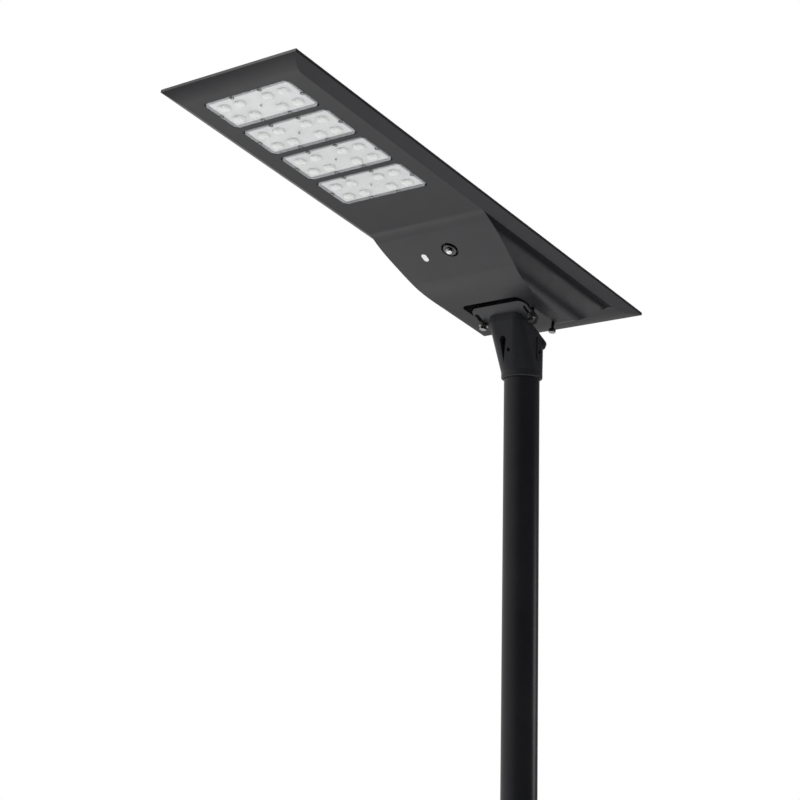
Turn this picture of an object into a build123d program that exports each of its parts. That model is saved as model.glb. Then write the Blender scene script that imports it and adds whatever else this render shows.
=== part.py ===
"""Solar street lamp: a tilting lamp head under its solar panel, on a steel pole with a base plate.

Millimetres. The pole stands on Z and its base plate rests on Z = 0. The lamp's LED end points to -X.
"""

import os
from math import cos, radians, sin, tan

from build123d import *

os.makedirs("parts", exist_ok=True)

# Pole and base
pole_diameter = 76.0
pole_wall = 3.0
pole_length = 2500.0
base_size = 400.0
base_thickness = 14.0
base_corner = 20.0
anchor_spacing = 300.0
anchor_hole = 22.0
gusset_height = 110.0
gusset_reach = 80.0
gusset_thickness = 8.0
gusset_toe = 12.0

# Lamp head
head_length = 1157.0
head_width = 340.0
head_rise = 11.8  # degrees that the LED end stands above level
axis_from_front = 945.0  # from the head's front edge to the pole's axis, along the rim
face_depth = 13.0  # LED face below the rim's lower edge
deep_depth = 82.5  # battery compartment below the rim's lower edge
face_half_width = 146.0
front_cove = 46.0
rear_cove = 78.0
slope_angle = 20.5
slope_start = 596.0  # where the LED face begins to fall to the battery compartment
slope_straight = 626.0
slope_drop = 9.0
slope_run = 118.0
slope_end = 850.0
deep_end = 975.0  # where the battery compartment begins to rise to the rear edge
rim_edge = 2.0
shell_wall = 4.0
face_wall = 6.0
front_flange = 48.0
rear_flange = 68.0

# Solar panel on the head's top
frame_top = 7.0
frame_lip = 24.0
frame_side = 19.0
glass_thickness = 2.5
sheet_thickness = 0.3
gasket_thickness = 0.8
panel_gap = 0.5
lip_gap = 0.05
cell_columns = 9
cell_rows = 4
cell_gap = 2.0
cell_margin = 10.0
frame_screw_radius = 2.0
frame_screw_depth = 5.0
frame_screw_inset = 10.0
frame_screw_end = 22.0
side_screws = 6

# LED modules
module_count = 4
module_pitch = 108.9
module_start = 53.0
module_length = 94.0
module_width = 212.0
module_recess = 3.0
module_gap = 1.0
module_corner = 6.0
seal_width = 6.5
board_gap = 0.5
board_thickness = 1.6
chip_size = 5.0
chip_height = 0.7
lens_seal = 1.8
lens_thickness = 2.6
lens_hollow = 0.8
dome_radius = 9.0
dome_height = 4.6
outer_leds = 74.5
inner_leds = 34.5
led_row = 20.7
notch_radius = 4.2
notch_depth = 1.0
lens_screw_radius = 1.5
lens_screw_inset = 4.0
lens_screw_bite = 2.2
lead_hole = 4.0

# Bracket and tilt hinge
bracket_angle = 30.0  # degrees that the bracket's plate leans down to the rear
plate_thickness = 7.0
plate_half_width = 70.0
plate_length = 73.5
plate_nose = 11.5  # plate in front of the hinge
plate_corner = 18.0
plate_below_hinge = 9.0
pocket_half_width = 75.0
pocket_start = 840.0
pocket_roof = 48.0
pocket_corner = 14.0
hinge_x = 880.0
hinge_depth = 67.3
hinge_pin_radius = 4.0
hinge_pin_head = 7.0
knuckle_radius = 8.0
knuckle_half_width = 40.0
lug_width = 12.0
lug_gap = 0.5
pin_fit = 0.05
collar_radius = 44.0
collar_depth = 204.0  # depths on the pole's axis are taken below the rim
collar_height = 14.0
collar_round = 3.0
column_depth = 90.0
column_front = 72.0
column_half_width = 44.0
column_front_corner = 20.0
column_rear_corner = 40.0
pole_top_depth = 132.0
pole_fit = 0.2
adapter_wall = 5.0
window_height = 48.0
window_radius = 7.5
window_depth = 128.0
window_side = 6.0  # to the left of the middle
window_lean = 8.0
set_screw_radius = 4.0
set_screw_depth = 150.0
front_screw_side = 4.0  # to the right of the middle
set_screw_sunk = 4.0
set_screw_pad = 8.0
pad_height = 52.0
pad_stand = 2.0
bolt_radius = 4.0
bolt_fit = 0.1
bolt_head_radius = 6.5
bolt_head_height = 8.0
bolt_engagement = 10.0
tilt_bolt_x = 910.0
bolt_spread = 63.0
slot_start = 5.0
slot_end = 43.0
slot_width = 10.0
wedge_size = 20.0
wedge_depth = 98.8
seat_gap = 0.3
rear_bolt_x = 987.0
rear_bolt_depth = 91.0

# Push button and indicator on the sloped face
button_x = 676.0
button_y = -12.0
button_recess_radius = 19.0
button_recess = 7.0
button_ring_radius = 14.5
button_ring_height = 8.2
button_barrel = 11.0
button_barrel_length = 20.0
button_cap_radius = 8.5
button_cap_length = 12.0
button_cap_stand = 2.5
button_dome = 6.0
button_floor = 6.0
button_gap = 0.3
button_nut_radius = 16.0
button_nut_height = 5.0
boss_height = 6.0
boss_wall = 3.5
indicator_x = 683.0
indicator_y = 57.0
indicator_length = 20.0
indicator_width = 12.0
indicator_lens_height = 5.0
indicator_gap = 0.1

# Battery and controller
cell_radius = 16.2
cell_length = 70.5
cell_play = 0.3
cells_across = 3
upper_cells = 4
lower_cells = 2
case_wall = 1.5
case_top = 2.3  # above the rim's lower edge
battery_end = 835.0
controller_start = 872.0
controller_length = 120.0
controller_width = 96.0
controller_height = 28.0
controller_above_roof = 8.0
junction_start = 1010.0
junction_length = 50.0
junction_width = 70.0
junction_height = 10.0
lead_radius = 1.5

# Derived places
rim_height = base_thickness + pole_length + pole_top_depth
tilt = radians(head_rise)
slope = radians(slope_angle)
lean = radians(bracket_angle)
along = Vector(cos(tilt), 0, -sin(tilt))  # along the head, to the rear
normal = Vector(sin(tilt), 0, cos(tilt))  # out of the panel
head_front = Vector(0, 0, rim_height) - along * axis_from_front
head = Plane(origin=head_front, x_dir=along, z_dir=normal)
head_side = Plane(origin=head_front, x_dir=along, z_dir=(0, -1, 0))
upward = Axis(head_front, normal)
head_middle = head_length / 2
face_inside = face_depth - face_wall


def head_point(x, y, z):
    """A point given along the head, across it and above the rim's lower edge."""
    return head_front + along * x + Vector(0, y, 0) + normal * z


def slope_height(x):
    """Height of the sloped face's straight stretch at x."""
    return -face_depth - slope_drop - (x - slope_straight) * tan(slope)


def slope_plane(x, y):
    """A plane on the sloped face, looking out of it."""
    out = along * -sin(slope) - normal * cos(slope)
    down = along * cos(slope) - normal * sin(slope)
    return Plane(origin=head_point(x, y, slope_height(x)), x_dir=down, z_dir=out)


def column_outline(inset):
    """The column's outline at its top, or with inset, the outline of the hollow in it."""
    with BuildSketch(Plane.XY.offset(rim_height - column_depth)) as outline:
        with Locations(((collar_radius - column_front) / 2, 0)):
            Rectangle(collar_radius + column_front - 2 * inset, 2 * (column_half_width - inset))
        fillet(outline.vertices().group_by(Axis.X)[0], column_front_corner - inset)
        fillet(outline.vertices().group_by(Axis.X)[-1], column_rear_corner - inset)
    return outline.sketch


def save(part, name):
    """Labels a finished piece and writes it under its name."""
    part.label = name
    export_step(part, "parts/" + name + ".step")


# Places that repeat
screw_step = (head_length - 2 * frame_screw_end) / (side_screws - 1)
frame_screw_places = [
    (frame_screw_end + n * screw_step, side * (head_width / 2 - frame_screw_inset))
    for side in (-1, 1)
    for n in range(side_screws)
]
frame_screw_places += [(frame_screw_inset, 0), (head_length - frame_screw_inset, 0)]
module_middles = [module_start + module_length / 2 + n * module_pitch for n in range(module_count)]
led_places = [
    (x, y) for x in (-led_row, led_row) for y in (-outer_leds, -inner_leds, inner_leds, outer_leds)
]
lens_screw_places = [
    (x, y)
    for x in (-module_length / 2 + lens_screw_inset, module_length / 2 - lens_screw_inset)
    for y in (-inner_leds, inner_leds)
]
lens_screw_places += [(0, side * (module_width / 2 - lens_screw_inset)) for side in (-1, 1)]
lens_screw_places += [(0, 0)]
bolt_places = [(x, side * bolt_spread) for x in (tilt_bolt_x, rear_bolt_x) for side in (-1, 1)]

# The underside's outline along the head
slope_top = (slope_straight, slope_height(slope_straight))
slope_foot = (slope_straight + slope_run, slope_height(slope_straight + slope_run))
foot_length = slope_end - slope_foot[0]
tail_start = head_length - rear_cove
tail_length = tail_start - deep_end
tail_rise = deep_depth - face_depth
tail = [
    (deep_end, -deep_depth),
    (deep_end + 0.28 * tail_length, -deep_depth + 0.19 * tail_rise),
    (deep_end + 0.5 * tail_length, -deep_depth + 0.42 * tail_rise),
    (deep_end + 0.74 * tail_length, -deep_depth + 0.79 * tail_rise),
    (tail_start, -face_depth),
]

# The left wall of the battery compartment, from the LED face down to its floor
wall = [
    (face_half_width, -face_depth),
    (face_half_width, -face_depth - 10),
    (face_half_width - 5, -deep_depth + 38),
    (face_half_width - 15, -deep_depth + 15),
    (face_half_width - 26, -deep_depth + 2.6),
    (face_half_width - 40, -deep_depth),
]

# Space inside the housing, open to the panel
with BuildPart() as cavity:
    inner_end = head_length - rear_flange
    with BuildSketch(head_side):
        with BuildLine():
            Polyline(
                (front_flange, rim_edge + 1),
                (front_flange, -face_inside),
                (slope_start, -face_inside),
                (slope_top[0], slope_top[1] + face_wall),
                (slope_foot[0], slope_foot[1] + face_wall),
                (slope_foot[0] + foot_length / 4, slope_foot[1] - 0.18 * foot_length * sin(slope)),
                (slope_foot[0] + foot_length / 2, -deep_depth + shell_wall + 4),
                (slope_end, -deep_depth + shell_wall),
                (deep_end - shell_wall, -deep_depth + shell_wall),
                (tail[1][0] - shell_wall, tail[1][1] + shell_wall),
                (tail[3][0] - shell_wall, tail[3][1] + shell_wall),
                (tail_start - shell_wall, -face_inside),
                (inner_end, -face_inside),
                (inner_end, rim_edge + 1),
                close=True,
            )
        make_face()
    extrude(amount=head_width / 2, both=True)
    with BuildSketch(Plane(origin=head_front, x_dir=(0, 1, 0), z_dir=along)):
        with BuildLine():
            inner_wall = [(face_half_width - 6, rim_edge + 1), (face_half_width - 6, wall[1][1])]
            inner_wall += [(y - shell_wall - 1, z + shell_wall) for y, z in wall[2:5]]
            inner_wall += [(wall[5][0], wall[5][1] + shell_wall)]
            Polyline(*inner_wall, *[(-y, z) for y, z in reversed(inner_wall)], close=True)
        make_face()
    extrude(amount=head_length, mode=Mode.INTERSECT)
    with BuildSketch(head.offset(-deep_depth)):
        with Locations(((pocket_start + head_length) / 2 - shell_wall, 0)):
            Rectangle(head_length - pocket_start, 2 * (pocket_half_width + shell_wall))
    extrude(amount=deep_depth - pocket_roof + shell_wall, mode=Mode.SUBTRACT)

# Recess under the battery compartment for the bracket's plate, open to the rear
with BuildPart() as pocket:
    with BuildSketch(head.offset(-pocket_roof)) as pocket_outline:
        with Locations(((pocket_start + head_length) / 2, 0)):
            Rectangle(head_length - pocket_start, 2 * pocket_half_width)
        fillet(pocket_outline.vertices().group_by(Axis.X)[0], pocket_corner)
    extrude(amount=-deep_depth)

# Housing: the cast lower body of the head
with BuildPart() as housing:
    with BuildSketch(head_side):
        with BuildLine():
            Line((0, rim_edge), (0, 0))
            Spline(
                (0, 0),
                (0.45 * front_cove, -0.62 * face_depth),
                (front_cove, -face_depth),
                tangents=((0.86, -0.5), (1, -0.06)),
            )
            Line((front_cove, -face_depth), (slope_start, -face_depth))
            Spline(
                (slope_start, -face_depth),
                slope_top,
                tangents=((1, 0), (cos(slope), -sin(slope))),
            )
            Line(slope_top, slope_foot)
            Spline(
                slope_foot,
                (slope_end, -deep_depth),
                tangents=((cos(slope), -sin(slope)), (1, -0.05)),
            )
            Line((slope_end, -deep_depth), tail[0])
            Spline(*tail, tangents=((1, 0.05), (1, 0.25)))
            Spline(tail[-1], (head_length, 0), tangents=((1, 0.04), (0.9, 0.3)))
            Polyline((head_length, 0), (head_length, rim_edge), (0, rim_edge))
        make_face()
    extrude(amount=head_width / 2, both=True)
    with BuildSketch(Plane(origin=head_front, x_dir=(0, 1, 0), z_dir=along)):
        with BuildLine():
            for side in (1, -1):
                edge = side * head_width / 2
                left = [(side * y, z) for y, z in wall]
                Polyline((0, rim_edge), (edge, rim_edge), (edge, 0), left[0], left[1])
                Spline(*left[1:], tangents=((0, -1), (-side, -0.12)))
                Line(left[-1], (0, -deep_depth))
        make_face()
    extrude(amount=head_length, mode=Mode.INTERSECT)
    add(cavity.part, mode=Mode.SUBTRACT)
    add(pocket.part, mode=Mode.SUBTRACT)
    # Lugs that carry the hinge pin
    for side in (-1, 1):
        lug_middle = side * (knuckle_half_width + lug_gap + lug_width / 2)
        lug_plane = Plane(origin=head_point(0, lug_middle, 0), x_dir=along, z_dir=(0, -1, 0))
        with BuildSketch(lug_plane):
            with Locations((hinge_x, -hinge_depth)):
                Circle(knuckle_radius)
            with Locations((hinge_x, -(hinge_depth + pocket_roof) / 2 + 1)):
                Rectangle(2 * knuckle_radius, hinge_depth - pocket_roof + 2)
        extrude(amount=lug_width / 2, both=True)
    with BuildSketch(head_side):
        with Locations((hinge_x, -hinge_depth)):
            Circle(hinge_pin_radius + pin_fit)
    extrude(amount=pocket_half_width, both=True, mode=Mode.SUBTRACT)
    # Bosses over the pocket for the bolts
    with BuildSketch(head.offset(-pocket_roof + shell_wall)):
        with Locations(*bolt_places):
            Circle(bolt_radius + 5)
    extrude(amount=bolt_engagement)
    with BuildSketch(head.offset(-pocket_roof)):
        with Locations(*bolt_places):
            Circle(bolt_radius + bolt_fit)
    extrude(amount=bolt_engagement + shell_wall - 1, mode=Mode.SUBTRACT)
    # Module recesses, their screw holes and the holes for the LED leads
    with BuildSketch(head.offset(-face_depth)) as recess_outline:
        with Locations(*[(x, 0) for x in module_middles]):
            Rectangle(module_length + 2 * module_gap, module_width + 2 * module_gap)
        chamfer(recess_outline.vertices(), module_corner)
    extrude(amount=module_recess, mode=Mode.SUBTRACT)
    with BuildSketch(head.offset(-face_depth + module_recess)):
        for x in module_middles:
            with Locations(*[(x + place[0], place[1]) for place in lens_screw_places]):
                Circle(lens_screw_radius + pin_fit)
    extrude(amount=lens_screw_bite, mode=Mode.SUBTRACT)
    with BuildSketch(head.offset(-face_depth + module_recess)):
        with Locations(*[(x, outer_leds) for x in module_middles]):
            Circle(lead_hole)
    extrude(amount=face_wall, mode=Mode.SUBTRACT)
    # Button and indicator seats on the sloped face
    with BuildSketch(slope_plane(button_x, button_y).offset(-face_wall / 2)):
        Circle(button_recess_radius + boss_wall)
    extrude(amount=face_wall / 2 - button_recess - boss_height)
    with BuildSketch(slope_plane(button_x, button_y)):
        Circle(button_recess_radius)
    extrude(amount=-button_recess, mode=Mode.SUBTRACT)
    with BuildSketch(slope_plane(button_x, button_y)):
        Circle(button_barrel + button_gap)
    extrude(amount=-button_recess - boss_height - 1, mode=Mode.SUBTRACT)
    with BuildSketch(slope_plane(indicator_x, indicator_y)):
        SlotOverall(indicator_length + 2 * indicator_gap, indicator_width + 2 * indicator_gap)
    extrude(amount=-face_wall - 2, mode=Mode.SUBTRACT)
    # Frame screw holes
    with BuildSketch(head.offset(rim_edge)):
        with Locations(*frame_screw_places):
            Circle(frame_screw_radius + pin_fit)
    extrude(amount=-frame_screw_depth, mode=Mode.SUBTRACT)
save(housing.part, "housing")

# Solar panel: seal, back sheet, cells, glass and frame
seat_top = rim_edge + gasket_thickness
cells_top = seat_top + 2 * sheet_thickness
glass_top = cells_top + glass_thickness
glass_length = head_length - 2 * (frame_side + panel_gap)
glass_width = head_width - 2 * (frame_side + panel_gap)

with BuildPart() as panel_gasket:
    with BuildSketch(head.offset(rim_edge)):
        with Locations((head_middle, 0)):
            Rectangle(glass_length, glass_width)
            Rectangle(
                glass_length - 2 * cell_margin, glass_width - 2 * cell_margin, mode=Mode.SUBTRACT
            )
    extrude(amount=gasket_thickness)
save(panel_gasket.part, "panel_gasket")

with BuildPart() as panel_backsheet:
    with BuildSketch(head.offset(seat_top)):
        with Locations((head_middle, 0)):
            Rectangle(glass_length, glass_width)
    extrude(amount=sheet_thickness)
save(panel_backsheet.part, "panel_backsheet")

cell_step_x = (glass_length - 2 * cell_margin) / cell_columns
cell_step_y = (glass_width - 2 * cell_margin) / cell_rows
with BuildPart() as solar_cells:
    with BuildSketch(head.offset(seat_top + sheet_thickness)):
        with Locations((head_middle, 0)):
            with GridLocations(cell_step_x, cell_step_y, cell_columns, cell_rows):
                Rectangle(cell_step_x - cell_gap, cell_step_y - cell_gap)
    extrude(amount=sheet_thickness)
save(solar_cells.part, "solar_cells")

with BuildPart() as panel_glass:
    with BuildSketch(head.offset(cells_top)):
        with Locations((head_middle, 0)):
            Rectangle(glass_length, glass_width)
    extrude(amount=glass_thickness)
save(panel_glass.part, "panel_glass")

with BuildPart() as panel_frame:
    with BuildSketch(head.offset(rim_edge)):
        with Locations((head_middle, 0)):
            Rectangle(head_length, head_width)
    extrude(amount=frame_top - rim_edge)
    chamfer(panel_frame.edges().group_by(upward)[-1], 1.2)
    with BuildSketch(head.offset(rim_edge)):
        with Locations((head_middle, 0)):
            Rectangle(head_length - 2 * frame_side, head_width - 2 * frame_side)
    extrude(amount=glass_top + lip_gap - rim_edge, mode=Mode.SUBTRACT)
    with BuildSketch(head.offset(rim_edge)):
        with Locations((head_middle, 0)):
            Rectangle(head_length - 2 * frame_lip, head_width - 2 * frame_lip)
        with Locations(*frame_screw_places):
            Circle(frame_screw_radius + 0.3)
    extrude(amount=frame_top, mode=Mode.SUBTRACT)
save(panel_frame.part, "panel_frame")

with BuildPart() as frame_screws:
    with BuildSketch(head.offset(rim_edge - frame_screw_depth + 0.5)):
        with Locations(*frame_screw_places):
            Circle(frame_screw_radius)
    extrude(amount=frame_top - rim_edge + frame_screw_depth - 0.5)
    with BuildSketch(head.offset(frame_top)):
        with Locations(*frame_screw_places):
            Circle(2 * frame_screw_radius)
    extrude(amount=frame_screw_radius)
save(frame_screws.part, "frame_screws")

with BuildPart() as junction_box:
    with BuildSketch(head.offset(seat_top)):
        with Locations((junction_start + junction_length / 2, 0)):
            Rectangle(junction_length, junction_width)
    extrude(amount=-junction_height)
    offset(amount=-case_wall, openings=junction_box.faces().sort_by(upward)[-1])
save(junction_box.part, "junction_box")

# LED modules: board, chips, seal and lens plate
seat = -face_depth + module_recess
lens_back = seat - lens_seal
lens_front = lens_back - lens_thickness
for number, x in enumerate(module_middles, start=1):
    module = Plane(origin=head_point(x, 0, seat), x_dir=along, z_dir=normal)
    inner_length = module_length - 2 * seal_width
    inner_width = module_width - 2 * seal_width
    with BuildPart() as led_board:
        with BuildSketch(module):
            Rectangle(inner_length - 2 * board_gap, inner_width - 2 * board_gap)
            Circle(lens_screw_radius + 0.2, mode=Mode.SUBTRACT)
        extrude(amount=-board_thickness)
    save(led_board.part, f"led_board_{number}")

    with BuildPart() as led_chips:
        with BuildSketch(module.offset(-board_thickness)):
            with Locations(*led_places):
                Rectangle(chip_size, chip_size)
        extrude(amount=-chip_height)
    save(led_chips.part, f"led_chips_{number}")

    with BuildPart() as lens_gasket:
        with BuildSketch(module) as seal_outline:
            Rectangle(module_length, module_width)
            chamfer(seal_outline.vertices(), module_corner)
            Rectangle(inner_length, inner_width, mode=Mode.SUBTRACT)
            with Locations(*lens_screw_places[:-1]):
                Circle(lens_screw_radius + 0.2, mode=Mode.SUBTRACT)
        extrude(amount=-lens_seal)
    save(lens_gasket.part, f"lens_gasket_{number}")

    with BuildPart() as lens_plate:
        with BuildSketch(module.offset(-lens_seal)) as lens_outline:
            Rectangle(module_length, module_width)
            chamfer(lens_outline.vertices(), module_corner)
        extrude(amount=-lens_thickness)
        with BuildSketch(module.offset(-lens_seal - lens_thickness)):
            with Locations(*led_places):
                Circle(dome_radius)
        extrude(amount=-dome_height)
        dome_faces = lens_plate.faces().sort_by(upward)[: len(led_places)]
        fillet(dome_faces.edges(), dome_height - 0.4)
        with BuildSketch(module.offset(-lens_seal)):
            Rectangle(inner_length, inner_width)
        extrude(amount=-lens_hollow, mode=Mode.SUBTRACT)
        with BuildSketch(module.offset(-lens_seal - lens_thickness)):
            with Locations(*lens_screw_places[:-1]):
                Circle(notch_radius)
        extrude(amount=notch_depth, mode=Mode.SUBTRACT)
        with BuildSketch(module):
            with Locations(*lens_screw_places):
                Circle(lens_screw_radius + 0.2)
        extrude(amount=-lens_seal - lens_thickness, mode=Mode.SUBTRACT)
    save(lens_plate.part, f"lens_plate_{number}")

with BuildPart() as lens_screws:
    for x in module_middles:
        edge_places = [(x + place[0], place[1]) for place in lens_screw_places[:-1]]
        with BuildSketch(head.offset(seat + lens_screw_bite - 0.2)):
            with Locations(*edge_places, (x, 0)):
                Circle(lens_screw_radius)
        extrude(amount=-lens_seal - lens_thickness + notch_depth - lens_screw_bite + 0.2)
        with BuildSketch(head.offset(lens_front + notch_depth)):
            with Locations(*edge_places):
                Circle(1.8 * lens_screw_radius)
        extrude(amount=-lens_screw_radius)
        with BuildSketch(head.offset(lens_front + notch_depth)):
            with Locations((x, 0)):
                Circle(lens_screw_radius)
        extrude(amount=-notch_depth)
        with BuildSketch(head.offset(lens_front)):
            with Locations((x, 0)):
                Circle(1.8 * lens_screw_radius)
        extrude(amount=-lens_screw_radius)
save(lens_screws.part, "lens_screws")

# Battery: cells lying across the head in two layers, in a stepped case with a lid
cell_pitch = 2 * (cell_radius + cell_play)
battery_half_width = cells_across * (cell_length + cell_play) / 2
case_half_width = battery_half_width + case_wall + cell_play
upper_height = case_top - 2 * case_wall - cell_radius
lower_height = upper_height - cell_pitch
last_cell = battery_end - case_wall - cell_play - cell_radius
upper_start = battery_end - upper_cells * cell_pitch - 2 * case_wall
lower_start = battery_end - lower_cells * cell_pitch - 2 * case_wall
upper_floor = upper_height - cell_radius - cell_play - case_wall
lower_floor = lower_height - cell_radius - cell_play - case_wall
with BuildPart() as battery_case:
    with BuildSketch(head_side):
        with BuildLine():
            Polyline(
                (upper_start, case_top - case_wall),
                (upper_start, upper_floor),
                (lower_start, upper_floor),
                (lower_start, lower_floor),
                (battery_end, lower_floor),
                (battery_end, case_top - case_wall),
                close=True,
            )
        make_face()
    extrude(amount=case_half_width, both=True)
    offset(
        amount=-case_wall,
        openings=battery_case.faces().sort_by(upward)[-1],
        kind=Kind.INTERSECTION,
    )
save(battery_case.part, "battery_case")

with BuildPart() as battery_lid:
    with BuildSketch(head.offset(case_top - case_wall)):
        with Locations(((upper_start + battery_end) / 2, 0)):
            Rectangle(battery_end - upper_start, 2 * case_half_width)
    extrude(amount=case_wall)
save(battery_lid.part, "battery_lid")

cell_places = [(last_cell - n * cell_pitch, upper_height) for n in range(upper_cells)]
cell_places += [(last_cell - n * cell_pitch, lower_height) for n in range(lower_cells)]
with BuildPart() as battery_cells:
    for n in range(cells_across):
        end = head_point(0, battery_half_width - n * (cell_length + cell_play), 0)
        with BuildSketch(Plane(origin=end, x_dir=along, z_dir=(0, -1, 0))):
            with Locations(*cell_places):
                Circle(cell_radius)
        extrude(amount=cell_length)
save(battery_cells.part, "battery_cells")

# Charge controller and LED driver over the pocket
controller_floor = -pocket_roof + controller_above_roof
controller_middle = controller_start + controller_length / 2
with BuildPart() as controller_box:
    with BuildSketch(head.offset(controller_floor)):
        with Locations((controller_middle, 0)):
            Rectangle(controller_length, controller_width)
    extrude(amount=controller_height - case_wall)
    offset(amount=-case_wall, openings=controller_box.faces().sort_by(upward)[-1])
save(controller_box.part, "controller_box")

with BuildPart() as controller_lid:
    with BuildSketch(head.offset(controller_floor + controller_height - case_wall)):
        with Locations((controller_middle, 0)):
            Rectangle(controller_length, controller_width)
    extrude(amount=case_wall)
save(controller_lid.part, "controller_lid")

with BuildPart() as controller_board:
    with BuildSketch(head.offset(controller_floor + case_wall + 4)):
        with Locations((controller_middle, 0)):
            Rectangle(controller_length - 4 * case_wall, controller_width - 4 * case_wall)
    extrude(amount=board_thickness)
    with BuildSketch(head.offset(controller_floor + case_wall + 4 + board_thickness)):
        with Locations((controller_middle, 0)):
            with GridLocations(30, 25, 3, 3):
                Rectangle(14, 10)
    extrude(amount=10)
save(controller_board.part, "controller_board")

with BuildPart() as controller_feet:
    with BuildSketch(head.offset(controller_floor)):
        with Locations((controller_middle, 0)):
            with GridLocations(controller_length - 16, controller_width - 16, 2, 2):
                Circle(5)
    extrude(amount=-controller_above_roof + shell_wall)
save(controller_feet.part, "controller_feet")

# Leads along the battery's left side, from the controller to the LED boards, and to the panel
lead_side = (case_half_width + face_half_width - 6) / 2
lead_line = -face_inside + lead_radius + 2.5
with BuildPart() as wiring:
    with BuildLine(head.offset(lead_line)) as led_route:
        Polyline(
            (module_middles[0], outer_leds, 0),
            (module_middles[0], lead_side, 0),
            (controller_start + 20, lead_side, 0),
        )
        fillet(led_route.vertices(), 12)
    with BuildSketch(Plane(origin=led_route.line @ 0, z_dir=led_route.line % 0)):
        Circle(lead_radius)
    sweep()
    for x in module_middles:
        with BuildSketch(head.offset(seat + 0.5)):
            with Locations((x, outer_leds)):
                Circle(lead_radius)
        extrude(amount=lead_line - seat - 0.5)
        with BuildSketch(Plane(origin=head_point(x, outer_leds, lead_line), z_dir=(0, 1, 0))):
            Circle(lead_radius)
        extrude(amount=lead_side - outer_leds)
save(wiring.part, "wiring")

# Push button: seal, ring with barrel, nut and the sprung cap
button = slope_plane(button_x, button_y)
with BuildPart() as button_seal:
    with BuildSketch(button.offset(-button_recess)):
        Circle(button_ring_radius)
        Circle(button_barrel + button_gap, mode=Mode.SUBTRACT)
    extrude(amount=gasket_thickness)
save(button_seal.part, "button_seal")

with BuildPart() as button_body:
    with BuildSketch(button.offset(-button_recess + gasket_thickness)):
        Circle(button_ring_radius)
    extrude(amount=button_ring_height)
    chamfer(button_body.faces().sort_by(upward)[0].edges(), 0.8)
    with BuildSketch(button.offset(-button_recess + gasket_thickness)):
        Circle(button_barrel)
    extrude(amount=-button_barrel_length)
    with BuildSketch(button.offset(-button_recess + gasket_thickness + button_ring_height)):
        Circle(button_cap_radius + button_gap)
    extrude(amount=button_floor - button_ring_height - button_barrel_length, mode=Mode.SUBTRACT)
save(button_body.part, "button_body")

with BuildPart() as button_nut:
    with BuildSketch(button.offset(-button_recess - boss_height)):
        RegularPolygon(button_nut_radius, 6)
        Circle(button_barrel + 0.05, mode=Mode.SUBTRACT)
    extrude(amount=-button_nut_height)
save(button_nut.part, "button_nut")

with BuildPart() as button_cap:
    with BuildSketch(button.offset(button_cap_stand)):
        Circle(button_cap_radius)
    extrude(amount=-button_cap_length)
    with BuildSketch(button.offset(button_cap_stand)):
        Circle(button_cap_radius)
    extrude(amount=button_dome)
    fillet(button_cap.faces().sort_by(upward)[0].edges(), button_dome - 0.2)
save(button_cap.part, "button_cap")

indicator = slope_plane(indicator_x, indicator_y)
with BuildPart() as indicator_lens:
    with BuildSketch(indicator.offset(-indicator_lens_height)):
        SlotOverall(indicator_length, indicator_width)
    extrude(amount=indicator_lens_height + 0.6)
save(indicator_lens.part, "indicator_lens")

with BuildPart() as indicator_board:
    with BuildSketch(indicator.offset(-face_wall - 1)):
        Rectangle(24, 24)
        Circle(1, mode=Mode.SUBTRACT)
    extrude(amount=-board_thickness)
save(indicator_board.part, "indicator_board")

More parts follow.
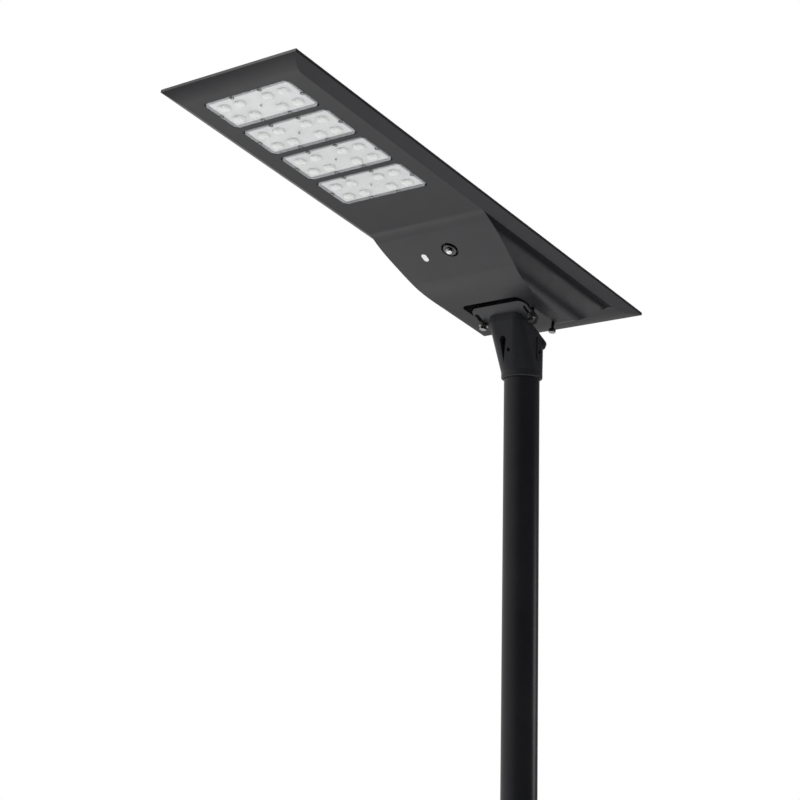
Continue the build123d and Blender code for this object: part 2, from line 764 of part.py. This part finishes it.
# Bracket: slip-fitter collar, column, and the plate that carries the head
hinge = head_point(hinge_x, 0, -hinge_depth)
plate_along = Vector(cos(lean), 0, -sin(lean))
plate_normal = Vector(sin(lean), 0, cos(lean))
plate_top = Plane(
    origin=hinge - plate_normal * plate_below_hinge, x_dir=plate_along, z_dir=plate_normal
)
collar_bottom = rim_height - collar_depth
column_bottom = collar_bottom + collar_height
tongue_end = (collar_radius - hinge.X) / cos(lean)
screw_height = rim_height - set_screw_depth
side_screws_plane = Plane(origin=(0, 0, screw_height), x_dir=(1, 0, 0), z_dir=(0, -1, 0))
front_screw_plane = Plane(
    origin=(0, -front_screw_side, screw_height), x_dir=(0, -1, 0), z_dir=(-1, 0, 0)
)
with BuildPart() as pole_adapter:
    with BuildSketch(Plane.XY.offset(collar_bottom)):
        Circle(collar_radius)
    extrude(amount=collar_height)
    fillet(pole_adapter.faces().sort_by(Axis.Z)[0].edges(), collar_round)
    with BuildSketch(Plane.XY.offset(column_bottom)):
        RectangleRounded(2 * collar_radius, 2 * collar_radius, collar_radius - 0.05)
    add(column_outline(0))
    loft()
    add(column_outline(0))
    extrude(amount=column_depth, dir=(0, 0, 1))
    with BuildSketch(plate_top):
        Rectangle(6 * plate_length, 6 * plate_length)
    extrude(amount=2 * plate_length, mode=Mode.SUBTRACT)
    with BuildSketch(plate_top) as plate_outline:
        with Locations((plate_length / 2 - plate_nose, 0)):
            Rectangle(plate_length, 2 * plate_half_width)
        fillet(plate_outline.vertices(), plate_corner)
        with Locations((tongue_end / 2, 0)):
            Rectangle(tongue_end, 2 * column_half_width)
        fillet(plate_outline.vertices().group_by(Axis.X)[-1], plate_corner)
    extrude(amount=-plate_thickness)
    # Raised pads for the set screws, and the hollow inside the column
    for side in (-1, 1):
        pad_face = Plane(
            origin=(0, side * (column_half_width + pad_stand), rim_height - set_screw_depth + 6),
            x_dir=(side, 0, 0),
            z_dir=(0, side, 0),
        )
        with BuildSketch(pad_face):
            RectangleRounded(2 * set_screw_pad, pad_height, set_screw_pad - 1)
        extrude(amount=-adapter_wall)
    with BuildSketch(Plane.XY.offset(rim_height - pole_top_depth)):
        RectangleRounded(
            2 * (collar_radius - 2 * adapter_wall),
            2 * (collar_radius - 2 * adapter_wall),
            collar_radius - 2 * adapter_wall - 0.05,
        )
    add(column_outline(adapter_wall))
    loft(mode=Mode.SUBTRACT)
    add(column_outline(adapter_wall))
    extrude(amount=column_depth, dir=(0, 0, 1), mode=Mode.SUBTRACT)
    with BuildSketch(plate_top):
        with Locations((tongue_end / 2, 0)):
            Rectangle(tongue_end - plate_nose, 2 * column_half_width - plate_nose)
    extrude(amount=-plate_thickness)
    with BuildSketch(Plane.XY.offset(collar_bottom)):
        Circle(pole_diameter / 2 + pole_fit)
    extrude(amount=collar_depth - pole_top_depth, mode=Mode.SUBTRACT)
    # Knuckle of the tilt hinge
    with BuildSketch(Plane(origin=hinge, x_dir=plate_along, z_dir=(0, -1, 0))):
        Circle(knuckle_radius)
        with Locations((0, -plate_below_hinge / 2)):
            Rectangle(2 * knuckle_radius, plate_below_hinge)
    extrude(amount=knuckle_half_width, both=True)
    with BuildSketch(Plane(origin=hinge, x_dir=plate_along, z_dir=(0, -1, 0))):
        Circle(hinge_pin_radius + pin_fit)
    extrude(amount=knuckle_half_width, both=True, mode=Mode.SUBTRACT)
    # Bolt slots in the plate
    with BuildSketch(plate_top):
        with Locations(*[((slot_start + slot_end) / 2, side * bolt_spread) for side in (-1, 1)]):
            SlotOverall(slot_end - slot_start, slot_width)
    extrude(amount=-plate_thickness, mode=Mode.SUBTRACT)
    # Drop-shaped window in the front wall, and the set screw holes
    with BuildSketch(
        Plane(origin=(0, 0, rim_height - window_depth), x_dir=(0, -1, 0), z_dir=(-1, 0, 0))
    ):
        with Locations((-window_side, 0)):
            Circle(window_radius)
        with BuildLine():
            Polyline(
                (-window_side - window_radius, 0),
                (-window_side - window_lean, -window_height),
                (-window_side + window_radius, 0),
                close=True,
            )
        make_face()
    extrude(amount=column_front, mode=Mode.SUBTRACT)
    with BuildSketch(side_screws_plane):
        Circle(set_screw_radius + pin_fit)
    extrude(amount=2 * collar_radius, both=True, mode=Mode.SUBTRACT)
    with BuildSketch(front_screw_plane):
        Circle(set_screw_radius + pin_fit)
    extrude(amount=2 * collar_radius, mode=Mode.SUBTRACT)
save(pole_adapter.part, "pole_adapter")

with BuildPart() as set_screws:
    screw_start = pole_diameter / 2 + pin_fit
    screw_end = column_half_width + pad_stand - set_screw_sunk
    for plane in (side_screws_plane, side_screws_plane.rotated((180, 0, 0)), front_screw_plane):
        with BuildSketch(plane.offset(screw_start)):
            Circle(set_screw_radius)
        extrude(amount=screw_end - screw_start)
save(set_screws.part, "set_screws")

# Hinge pin with its washers and nuts
pin_half = knuckle_half_width + lug_gap + lug_width
with BuildPart() as hinge_pin:
    with BuildSketch(head_side):
        with Locations((hinge_x, -hinge_depth)):
            Circle(hinge_pin_radius)
    extrude(amount=pin_half + 5, both=True)
save(hinge_pin.part, "hinge_pin")

with BuildPart() as hinge_nuts:
    for side in (-1, 1):
        nut_face = Plane(
            origin=head_point(hinge_x, side * (pin_half + 0.2), -hinge_depth),
            x_dir=along,
            z_dir=(0, side, 0),
        )
        with BuildSketch(nut_face):
            RegularPolygon(hinge_pin_head, 6)
            Circle(hinge_pin_radius + pin_fit, mode=Mode.SUBTRACT)
        extrude(amount=5)
save(hinge_nuts.part, "hinge_nuts")

# Bolts from the pocket's roof: two clamp the plate through its slots, two stand behind it
with BuildPart() as tilt_bolts:
    with BuildSketch(head.offset(-wedge_depth)):
        with Locations(*bolt_places[:2]):
            Circle(bolt_radius)
    extrude(amount=wedge_depth - pocket_roof + bolt_engagement)
    with BuildSketch(head.offset(-wedge_depth)):
        with Locations(*bolt_places[:2]):
            RegularPolygon(bolt_head_radius, 6, major_radius=False)
    extrude(amount=-bolt_head_height)
save(tilt_bolts.part, "tilt_bolts")

with BuildPart() as rear_bolts:
    with BuildSketch(head.offset(-rear_bolt_depth)):
        with Locations(*bolt_places[2:]):
            Circle(bolt_radius)
    extrude(amount=rear_bolt_depth - pocket_roof + bolt_engagement)
    with BuildSketch(head.offset(-rear_bolt_depth)):
        with Locations(*bolt_places[2:]):
            RegularPolygon(bolt_head_radius, 6, major_radius=False)
    extrude(amount=-bolt_head_height)
save(rear_bolts.part, "rear_bolts")

with BuildPart() as wedge_washers:
    with BuildSketch(head.offset(-wedge_depth)):
        with Locations(*bolt_places[:2]):
            Circle(wedge_size / 2)
            Circle(bolt_radius + 1, mode=Mode.SUBTRACT)
    extrude(amount=wedge_size)
    with BuildSketch(plate_top.offset(-plate_thickness - seat_gap)):
        Rectangle(4 * plate_length, 4 * plate_length)
    extrude(amount=plate_length, mode=Mode.SUBTRACT)
save(wedge_washers.part, "wedge_washers")

# Pole and base
with BuildPart() as pole:
    with BuildSketch(Plane.XY.offset(base_thickness)):
        Circle(pole_diameter / 2)
        Circle(pole_diameter / 2 - pole_wall, mode=Mode.SUBTRACT)
    extrude(amount=pole_length)
save(pole.part, "pole")

with BuildPart() as base_plate:
    with BuildSketch():
        RectangleRounded(base_size, base_size, base_corner)
        with GridLocations(anchor_spacing, anchor_spacing, 2, 2):
            Circle(anchor_hole / 2, mode=Mode.SUBTRACT)
    extrude(amount=base_thickness)
    chamfer(base_plate.faces().sort_by(Axis.Z)[-1].outer_wire().edges(), 2)
save(base_plate.part, "base_plate")

with BuildPart() as base_gussets:
    for n in range(4):
        turned = Plane.XZ.rotated((0, 0, 90 * n))
        with BuildSketch(turned):
            with BuildLine():
                inner = pole_diameter / 2
                outer = inner + gusset_reach
                Polyline(
                    (inner, base_thickness),
                    (outer, base_thickness),
                    (outer, base_thickness + gusset_toe),
                    (inner + gusset_toe, base_thickness + gusset_height),
                    (inner, base_thickness + gusset_height),
                    close=True,
                )
            make_face()
        extrude(amount=gusset_thickness / 2, both=True)
    with BuildSketch(Plane.XY.offset(base_thickness)):
        Circle(pole_diameter / 2)
    extrude(amount=gusset_height, mode=Mode.SUBTRACT)
save(base_gussets.part, "base_gussets")
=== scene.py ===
"""Finishes the solar street lamp: powder coat, LED lenses, solar cells, screw heads and the studio."""

from math import cos, pi, radians, sin

import bmesh
import bpy
from mathutils import Matrix, Vector


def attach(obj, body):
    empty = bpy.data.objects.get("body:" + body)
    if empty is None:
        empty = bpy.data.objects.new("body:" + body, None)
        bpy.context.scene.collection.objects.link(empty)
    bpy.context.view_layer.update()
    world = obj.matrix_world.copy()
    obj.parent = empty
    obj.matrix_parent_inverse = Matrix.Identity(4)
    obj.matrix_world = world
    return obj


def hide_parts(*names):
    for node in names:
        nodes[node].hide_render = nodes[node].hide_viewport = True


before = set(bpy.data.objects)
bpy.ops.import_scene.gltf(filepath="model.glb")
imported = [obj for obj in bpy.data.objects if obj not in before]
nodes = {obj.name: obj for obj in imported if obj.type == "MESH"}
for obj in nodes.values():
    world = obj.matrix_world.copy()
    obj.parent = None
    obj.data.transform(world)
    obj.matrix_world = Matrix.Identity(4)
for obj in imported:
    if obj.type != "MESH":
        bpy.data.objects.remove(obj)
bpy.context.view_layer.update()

# ---------------------------------------------------------------- the head's own frame, in metres
HEAD_RISE = radians(11.8)
ALONG = Vector((cos(HEAD_RISE), 0, -sin(HEAD_RISE)))
OUTWARD = Vector((sin(HEAD_RISE), 0, cos(HEAD_RISE)))
RIM_ON_POLE = Vector((0, 0, 2.646))
HEAD_FRONT = RIM_ON_POLE - ALONG * 0.945
HEAD = Matrix((
    (ALONG.x, 0, OUTWARD.x, HEAD_FRONT.x),
    (0, 1, 0, 0),
    (ALONG.z, 0, OUTWARD.z, HEAD_FRONT.z),
    (0, 0, 0, 1),
))
MODULE_MIDDLES = [0.1 + 0.1089 * n for n in range(4)]
LED_PLACES = [(x, y) for x in (-0.0207, 0.0207) for y in (-0.0745, -0.0345, 0.0345, 0.0745)]
EDGE_SCREWS = [(x, y) for x in (-0.043, 0.043) for y in (-0.0345, 0.0345)]
EDGE_SCREWS += [(0, -0.102), (0, 0.102)]


# ---------------------------------------------------------------- materials
def new_material(name):
    material = bpy.data.materials.new(name)
    material.use_nodes = True
    tree = material.node_tree
    return material, tree, tree.nodes["Principled BSDF"]


def add_node(tree, kind, **inputs):
    node = tree.nodes.new(kind)
    for key, value in inputs.items():
        node.inputs[key.replace("_", " ")].default_value = value
    return node


def grain(tree, shader, scale, height, spread=None, detail=3.0):
    """A fine bump over the finish, and with spread, a roughness that varies from low to high."""
    place = tree.nodes.new("ShaderNodeTexCoord")
    noise = add_node(tree, "ShaderNodeTexNoise", Scale=scale, Detail=detail)
    tree.links.new(place.outputs["Object"], noise.inputs["Vector"])
    bump = add_node(tree, "ShaderNodeBump", Strength=1.0, Distance=height)
    tree.links.new(noise.outputs["Fac"], bump.inputs["Height"])
    tree.links.new(bump.outputs["Normal"], shader.inputs["Normal"])
    if spread:
        patches = add_node(tree, "ShaderNodeTexNoise", Scale=spread[2], Detail=4.0)
        tree.links.new(place.outputs["Object"], patches.inputs["Vector"])
        ranged = tree.nodes.new("ShaderNodeMapRange")
        ranged.inputs["To Min"].default_value = spread[0]
        ranged.inputs["To Max"].default_value = spread[1]
        tree.links.new(patches.outputs["Fac"], ranged.inputs["Value"])
        tree.links.new(ranged.outputs["Result"], shader.inputs["Roughness"])


def mottle(tree, shader, dark, light, scale):
    """Two close tones of one colour, in soft patches."""
    place = tree.nodes.new("ShaderNodeTexCoord")
    noise = add_node(tree, "ShaderNodeTexNoise", Scale=scale, Detail=5.0)
    tree.links.new(place.outputs["Object"], noise.inputs["Vector"])
    ramp = tree.nodes.new("ShaderNodeValToRGB")
    ramp.color_ramp.elements[0].position = 0.35
    ramp.color_ramp.elements[1].position = 0.65
    ramp.color_ramp.elements[0].color = (*dark, 1)
    ramp.color_ramp.elements[1].color = (*light, 1)
    tree.links.new(noise.outputs["Fac"], ramp.inputs["Fac"])
    tree.links.new(ramp.outputs["Color"], shader.inputs["Base Color"])


def powder_coat(name, dark, light, roughness):
    material, tree, shader = new_material(name)
    mottle(tree, shader, dark, light, 9.0)
    grain(tree, shader, 1400.0, 0.00006, (roughness - 0.04, roughness + 0.05, 30.0))
    shader.inputs["Specular IOR Level"].default_value = 0.5
    return material


def plain_metal(name, colour, roughness, scale=500.0):
    material, tree, shader = new_material(name)
    shader.inputs["Metallic"].default_value = 1.0
    mottle(tree, shader, [c * 0.86 for c in colour], colour, 60.0)
    grain(tree, shader, scale, 0.00003, (roughness - 0.05, roughness + 0.08, 90.0))
    return material


def moulded(name, dark, light, roughness, scale=900.0, height=0.00003):
    material, tree, shader = new_material(name)
    mottle(tree, shader, dark, light, 25.0)
    grain(tree, shader, scale, height, (roughness - 0.04, roughness + 0.06, 50.0))
    return material


black_coat = powder_coat("black_powder_coat", (0.0070, 0.0072, 0.0098), (0.0092, 0.0094, 0.0122), 0.34)
pole_coat = powder_coat("pole_powder_coat", (0.0065, 0.0066, 0.0090), (0.0085, 0.0087, 0.0112), 0.32)
bracket_coat = powder_coat("bracket_powder_coat", (0.0085, 0.0090, 0.0115), (0.0115, 0.0122, 0.0150), 0.38)
frame_coat = powder_coat("frame_anodised_black", (0.018, 0.019, 0.022), (0.023, 0.024, 0.027), 0.34)
stainless = plain_metal("stainless_steel", (0.63, 0.62, 0.60), 0.24)
chrome_dome = plain_metal("polished_dome", (0.80, 0.80, 0.80), 0.12)
dark_plate = plain_metal("dark_button_ring", (0.10, 0.10, 0.105), 0.30)
silicone = moulded("black_silicone", (0.012, 0.012, 0.012), (0.02, 0.02, 0.02), 0.62)
board_white = moulded("white_board_mask", (0.84, 0.84, 0.82), (0.92, 0.92, 0.90), 0.45, 400.0, 0.00001)
phosphor = moulded("led_phosphor", (0.85, 0.66, 0.18), (0.95, 0.80, 0.30), 0.5, 2500.0, 0.00001)
milky = moulded("milky_indicator", (0.80, 0.79, 0.76), (0.90, 0.89, 0.86), 0.30, 600.0, 0.00001)
white_film = moulded("white_back_film", (0.70, 0.70, 0.70), (0.78, 0.78, 0.78), 0.5)
black_case = moulded("black_moulding", (0.02, 0.02, 0.02), (0.03, 0.03, 0.03), 0.5)
blue_sleeve = moulded("cell_sleeve", (0.02, 0.10, 0.30), (0.03, 0.14, 0.38), 0.35)
green_board = moulded("circuit_board_green", (0.01, 0.10, 0.04), (0.02, 0.16, 0.06), 0.4)
red_lead = moulded("lead_insulation", (0.40, 0.02, 0.015), (0.5, 0.03, 0.02), 0.45)
busbar = plain_metal("tinned_busbar", (0.42, 0.43, 0.46), 0.38)

# Clear polycarbonate: the flat cover, and the thicker lenses on it; the lenses' near-white base colour is
# painted brightness standing in for the light seen in the lit domes
def clear_plastic(name, colour, roughness, opacity):
    material, tree, shader = new_material(name)
    mottle(tree, shader, [c * 0.95 for c in colour], colour, 120.0)
    grain(tree, shader, 500.0, 0.00001, (roughness * 0.7, roughness * 1.4, 60.0))
    shader.inputs["Alpha"].default_value = opacity
    shader.inputs["IOR"].default_value = 1.49
    return material


clear_cover = clear_plastic("clear_cover", (0.86, 0.88, 0.90), 0.10, 0.30)
# The lens domes are painted near-white and more opaque than the cover: painted brightness for the lit
# lenses, over real translucent plastic
lens_painted_bright = clear_plastic("lens_plastic_painted_bright", (1.0, 1.0, 0.99), 0.16, 0.62)
panel_glass = clear_plastic("panel_glass", (0.04, 0.05, 0.06), 0.04, 0.22)

# Monocrystalline cells: deep blue with fine silver fingers across the head
cell_face, cell_tree, cell_shader = new_material("solar_cell_face")
cell_place = cell_tree.nodes.new("ShaderNodeTexCoord")
cell_turn = cell_tree.nodes.new("ShaderNodeMapping")
cell_turn.inputs["Rotation"].default_value = (0, -HEAD_RISE, 0)
cell_lines = cell_tree.nodes.new("ShaderNodeTexWave")
cell_lines.wave_type = "BANDS"
cell_lines.bands_direction = "X"
cell_lines.inputs["Scale"].default_value = 105.0
cell_ramp = cell_tree.nodes.new("ShaderNodeValToRGB")
cell_ramp.color_ramp.elements[0].position = 0.93
cell_ramp.color_ramp.elements[1].position = 0.985
cell_ramp.color_ramp.elements[0].color = (0.006, 0.010, 0.032, 1)
cell_ramp.color_ramp.elements[1].color = (0.028, 0.036, 0.064, 1)
cell_tree.links.new(cell_place.outputs["Object"], cell_turn.inputs["Vector"])
cell_tree.links.new(cell_turn.outputs["Vector"], cell_lines.inputs["Vector"])
cell_tree.links.new(cell_lines.outputs["Fac"], cell_ramp.inputs["Fac"])
cell_tree.links.new(cell_ramp.outputs["Color"], cell_shader.inputs["Base Color"])
grain(cell_tree, cell_shader, 200.0, 0.000005, (0.22, 0.32, 30.0))

FINISHES = {
    "housing": black_coat,
    "panel_frame": frame_coat,
    "pole_adapter": bracket_coat,
    "pole": pole_coat,
    "base_plate": pole_coat,
    "base_gussets": pole_coat,
    "panel_glass": panel_glass,
    "solar_cells": cell_face,
    "panel_backsheet": white_film,
    "panel_gasket": silicone,
    "button_seal": silicone,
    "junction_box": black_case,
    "controller_box": black_case,
    "controller_lid": black_case,
    "controller_feet": black_coat,
    "controller_board": green_board,
    "indicator_board": green_board,
    "battery_case": black_case,
    "battery_lid": black_case,
    "battery_cells": blue_sleeve,
    "button_body": dark_plate,
    "button_nut": dark_plate,
    "button_cap": chrome_dome,
    "indicator_lens": milky,
    "wiring": red_lead,
}
STAINLESS_NODES = ("frame_screws", "lens_screws", "set_screws", "hinge_pin", "hinge_nuts")
STAINLESS_NODES += ("tilt_bolts", "wedge_washers", "rear_bolts")
for name in STAINLESS_NODES:
    FINISHES[name] = stainless
for n in range(1, len(MODULE_MIDDLES) + 1):
    FINISHES[f"led_board_{n}"] = board_white
    FINISHES[f"led_chips_{n}"] = phosphor
    FINISHES[f"lens_gasket_{n}"] = silicone
    FINISHES[f"lens_plate_{n}"] = clear_cover
for name, material in FINISHES.items():
    if nodes[name].material_slots:
        for material_slot in nodes[name].material_slots:
            material_slot.material = material
    else:
        nodes[name].data.materials.append(material)


# ---------------------------------------------------------------- pieces
def finish_piece(mesh, name, materials, body, *replaced):
    """Turns a finished bmesh, in world coordinates, into a piece that rides on a body."""
    bmesh.ops.recalc_face_normals(mesh, faces=mesh.faces)
    data = bpy.data.meshes.new(name)
    mesh.to_mesh(data)
    mesh.free()
    for material in materials:
        data.materials.append(material)
    piece = bpy.data.objects.new(name, data)
    bpy.context.scene.collection.objects.link(piece)
    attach(piece, body)
    if replaced:
        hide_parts(*replaced)
    return piece


def soften(mesh, angle):
    """Smooth shading with the sharper edges kept crisp."""
    for face in mesh.faces:
        face.smooth = True
    for edge in mesh.edges:
        if len(edge.link_faces) == 2 and edge.calc_face_angle(0.0) > angle:
            edge.smooth = False


# Lens covers, in metres in the head's frame; the cover stands down from its back face
COVER_LENGTH = 0.0938
COVER_WIDTH = 0.2118
COVER_CORNER = 0.0085
COVER_THICKNESS = 0.0022
COVER_BACK = -0.0118
EDGE_ROUND = 0.0012
RIM_WIDTH = 0.0052
STEP_WIDTH = 0.0008
STEP_DEPTH = 0.0009
LAND_WIDTH = 0.0030
LOBE_SPREAD = 0.0044
LOBE_SIZE = (0.0098, 0.0076, 0.0046)
LOBE_LEVEL = -0.0029


def lens_cover(number, middle):
    """One module's clear cover: chamfered corners, a stepped rim and eight two-lobed lenses."""
    mesh = bmesh.new()
    bmesh.ops.create_grid(mesh, x_segments=1, y_segments=1, size=0.5)
    bmesh.ops.scale(mesh, vec=(COVER_LENGTH, COVER_WIDTH, 1), verts=mesh.verts)
    bmesh.ops.bevel(
        mesh, geom=mesh.verts[:], offset=COVER_CORNER, offset_type="OFFSET", segments=1,
        profile=0.5, affect="VERTICES", material=-1,
    )
    back = mesh.faces[:]
    raised = bmesh.ops.extrude_face_region(mesh, geom=back)
    outer = [item for item in raised["geom"] if isinstance(item, bmesh.types.BMFace)]
    bmesh.ops.translate(
        mesh, vec=(0, 0, -COVER_THICKNESS), verts=list({v for face in outer for v in face.verts})
    )
    bmesh.ops.bevel(
        mesh, geom=list({e for face in outer for e in face.edges}), offset=EDGE_ROUND,
        offset_type="OFFSET", segments=3, profile=0.5, affect="EDGES", material=-1,
    )
    outer = sorted(mesh.faces, key=lambda face: face.calc_center_median().z)[:1]
    bmesh.ops.inset_region(mesh, faces=outer, thickness=RIM_WIDTH, depth=0.0)
    bmesh.ops.inset_region(mesh, faces=outer, thickness=STEP_WIDTH, depth=STEP_DEPTH)
    bmesh.ops.inset_region(mesh, faces=outer, thickness=LAND_WIDTH, depth=0.0)
    soften(mesh, radians(28))
    for x, y in LED_PLACES:
        for lobe in (-LOBE_SPREAD, LOBE_SPREAD):
            made = bmesh.ops.create_uvsphere(mesh, u_segments=24, v_segments=12, radius=1.0)
            lens = made["verts"]
            crown = [v for v in lens if abs(v.co.z) > 0.93]
            bmesh.ops.scale(mesh, vec=(1, 1, 0.9), verts=crown)
            bmesh.ops.scale(mesh, vec=LOBE_SIZE, verts=lens)
            bmesh.ops.translate(mesh, vec=(x, y + lobe, LOBE_LEVEL), verts=lens)
            for face in {f for v in lens for f in v.link_faces}:
                face.smooth = True
                face.material_index = 1
    bmesh.ops.translate(mesh, vec=(middle, 0, COVER_BACK), verts=mesh.verts)
    bmesh.ops.transform(mesh, matrix=HEAD, verts=mesh.verts)
    return finish_piece(
        mesh, f"lens_cover_{number}", [clear_cover, lens_painted_bright], "head", f"lens_plate_{number}"
    )


def screw_head(mesh, at, facing, radius, height):
    """A button-head screw: a domed rim round a drive socket, standing on the point given."""
    others = set(mesh.verts)
    bmesh.ops.create_circle(mesh, cap_ends=True, segments=20, radius=radius)
    base = [face for face in mesh.faces if not others.intersection(face.verts)]
    raised = bmesh.ops.extrude_face_region(mesh, geom=base, use_keep_orig=True)
    top = [item for item in raised["geom"] if isinstance(item, bmesh.types.BMFace)]
    rim = list({v for face in top for v in face.verts})
    bmesh.ops.translate(mesh, vec=(0, 0, 0.55 * height), verts=rim)
    second = bmesh.ops.extrude_face_region(mesh, geom=top)
    crown = [item for item in second["geom"] if isinstance(item, bmesh.types.BMFace)]
    crown_verts = list({v for face in crown for v in face.verts})
    bmesh.ops.scale(mesh, vec=(0.72, 0.72, 1), verts=crown_verts)
    bmesh.ops.translate(mesh, vec=(0, 0, 0.45 * height), verts=crown_verts)
    bmesh.ops.inset_region(mesh, faces=crown, thickness=0.18 * radius, depth=0.0)
    bmesh.ops.inset_region(mesh, faces=crown, thickness=0.05 * radius, depth=-0.5 * height)
    turned = facing.to_track_quat("Z", "Y").to_matrix().to_4x4()
    own = [v for v in mesh.verts if v not in others]
    bmesh.ops.transform(mesh, matrix=Matrix.Translation(at) @ turned, verts=own)


for n, middle in enumerate(MODULE_MIDDLES, start=1):
    lens_cover(n, middle)

# Socket screws round the panel frame, with their washers
frame_heads = bmesh.new()
SCREW_STEP = (1.157 - 0.044) / 5
frame_places = [(0.022 + SCREW_STEP * k, side * 0.16) for side in (-1, 1) for k in range(6)]
frame_places += [(0.010, 0), (1.147, 0)]
for x, y in frame_places:
    screw_head(frame_heads, HEAD @ Vector((x, y, 0.007)), OUTWARD, 0.0042, 0.0020)
soften(frame_heads, radians(35))
finish_piece(frame_heads, "frame_screw_heads", [stainless], "head", "frame_screws")

# Screws along the edges of each lens cover, and the small one in its middle
lens_heads = bmesh.new()
for middle in MODULE_MIDDLES:
    for x, y in EDGE_SCREWS:
        screw_head(lens_heads, HEAD @ Vector((middle + x, y, -0.0139)), -OUTWARD, 0.0030, 0.0015)
    screw_head(lens_heads, HEAD @ Vector((middle, 0, -0.0144)), -OUTWARD, 0.0024, 0.0012)
soften(lens_heads, radians(35))
finish_piece(lens_heads, "lens_screw_heads", [stainless], "head", "lens_screws")

# Dark seats under the edge screws
seats = bmesh.new()
for middle in MODULE_MIDDLES:
    for x, y in EDGE_SCREWS:
        ring = bmesh.ops.create_cone(
            seats, cap_ends=True, segments=20, radius1=0.0044, radius2=0.0040, depth=0.0007
        )
        stand = (1 if x > 0 else -1 if x < 0 else 0) * 0.0004
        at = HEAD @ Matrix.Translation((middle + x + stand, y, -0.0142))
        bmesh.ops.transform(seats, matrix=at, verts=ring["verts"])
soften(seats, radians(35))
finish_piece(seats, "cover_screw_seats", [silicone], "head")

# Tinned ribbons along the rows of cells
ribbons = bmesh.new()
for row in range(4):
    for bar in range(5):
        y = (row - 1.5) * 0.07025 + (bar - 2) * 0.0135
        strip = bmesh.ops.create_cube(ribbons, size=1.0)
        bmesh.ops.scale(ribbons, vec=(1.092, 0.0013, 0.00006), verts=strip["verts"])
        at = HEAD @ Matrix.Translation((0.5785, y, 0.00341))
        bmesh.ops.transform(ribbons, matrix=at, verts=strip["verts"])
finish_piece(ribbons, "cell_ribbons", [busbar], "head")

# Weld bead round the foot of the pole
bead = bmesh.new()
section = bmesh.ops.create_circle(bead, cap_ends=False, segments=10, radius=0.0034)
place = Matrix.Translation((0.0385, 0, 0.0145)) @ Matrix.Rotation(pi / 2, 4, "X")
bmesh.ops.transform(bead, matrix=place, verts=section["verts"])
bmesh.ops.spin(
    bead, geom=bead.verts[:] + bead.edges[:], cent=(0, 0, 0), axis=(0, 0, 1),
    angle=2 * pi, steps=72, use_merge=True,
)
bmesh.ops.remove_doubles(bead, verts=bead.verts, dist=0.00001)
soften(bead, radians(60))
finish_piece(bead, "pole_weld", [pole_coat], "post")

# ---------------------------------------------------------------- studio
floor_mesh = bmesh.new()
bmesh.ops.create_grid(floor_mesh, x_segments=1, y_segments=1, size=2.6)
floor_data = bpy.data.meshes.new("floor")
floor_mesh.to_mesh(floor_data)
floor_mesh.free()
floor = bpy.data.objects.new("floor", floor_data)
bpy.context.scene.collection.objects.link(floor)
floor_paint, floor_tree, floor_shader = new_material("pale_floor")
floor_shader.inputs["Base Color"].default_value = (0.86, 0.86, 0.86, 1)
floor_shader.inputs["Roughness"].default_value = 0.7
floor_data.materials.append(floor_paint)

# White room for the eye and for soft light. Reflections see a dimmer room instead, which falls
# off towards the floor and the right: the two rooms differ, so this is not one plain light
world = bpy.data.worlds.new("studio")
bpy.context.scene.world = world
world.use_nodes = True
world.cycles.sampling_method = "NONE"  # so that reflections always see their own room
sky = world.node_tree
room = sky.nodes["Background"]
room.inputs["Color"].default_value = (1, 1, 1, 1)
rays = sky.nodes.new("ShaderNodeLightPath")
direction = sky.nodes.new("ShaderNodeTexCoord")
towards_light = sky.nodes.new("ShaderNodeVectorMath")
towards_light.operation = "DOT_PRODUCT"
towards_light.inputs[1].default_value = (0, 0.86, 0.51)
falloff = sky.nodes.new("ShaderNodeMapRange")
falloff.inputs["From Min"].default_value = -0.25
falloff.inputs["From Max"].default_value = 0.8
falloff.inputs["To Min"].default_value = 0.01
falloff.inputs["To Max"].default_value = 0.60
strength = sky.nodes.new("ShaderNodeMix")
strength.inputs["A"].default_value = 1.0
sky.links.new(direction.outputs["Generated"], towards_light.inputs[0])
sky.links.new(towards_light.outputs["Value"], falloff.inputs["Value"])
sky.links.new(rays.outputs["Is Glossy Ray"], strength.inputs["Factor"])
sky.links.new(falloff.outputs["Result"], strength.inputs["B"])
sky.links.new(strength.outputs["Result"], room.inputs["Strength"])
bpy.context.scene.view_settings.view_transform = "Standard"


def softbox(name, at, towards, width, height, watts):
    light = bpy.data.lights.new(name, "AREA")
    light.shape = "RECTANGLE"
    light.size = width
    light.size_y = height
    light.energy = watts
    turn = (Vector(towards) - Vector(at)).to_track_quat("-Z", "Y").to_matrix().to_4x4()
    box = bpy.data.objects.new(name, light)
    box.matrix_world = Matrix.Translation(at) @ turn
    bpy.context.scene.collection.objects.link(box)


softbox("low_left_softbox", (0.2, 2.3, 0.45), (-0.35, 0, 2.65), 1.6, 1.0, 4)
softbox("right_softbox", (3.4, -2.6, 1.9), (0, 0, 2.55), 1.3, 1.5, 14)
softbox("top_softbox", (-1.5, 1.0, 5.0), (-0.3, 0, 2.6), 2.0, 2.0, 30)

# ---------------------------------------------------------------- camera
FOCAL_LENGTH = 88.268
CAMERA_AT = Vector((-3.31360, -2.38251, 1.51135))
camera_data = bpy.data.cameras.new("camera")
camera = bpy.data.objects.new("camera", camera_data)
bpy.context.scene.collection.objects.link(camera)
bpy.context.scene.camera = camera
camera_data.sensor_width = 36.0
camera_data.lens = FOCAL_LENGTH
camera_data.clip_start = 0.05
camera_data.clip_end = 60.0
look = Vector((0.75586, 0.61970, 0.21129))
right = Vector((0.63054, -0.77590, 0.01999))
down = look.cross(right)
camera.matrix_world = Matrix((
    (right.x, -down.x, -look.x, CAMERA_AT.x),
    (right.y, -down.y, -look.y, CAMERA_AT.y),
    (right.z, -down.z, -look.z, CAMERA_AT.z),
    (0, 0, 0, 1),
))
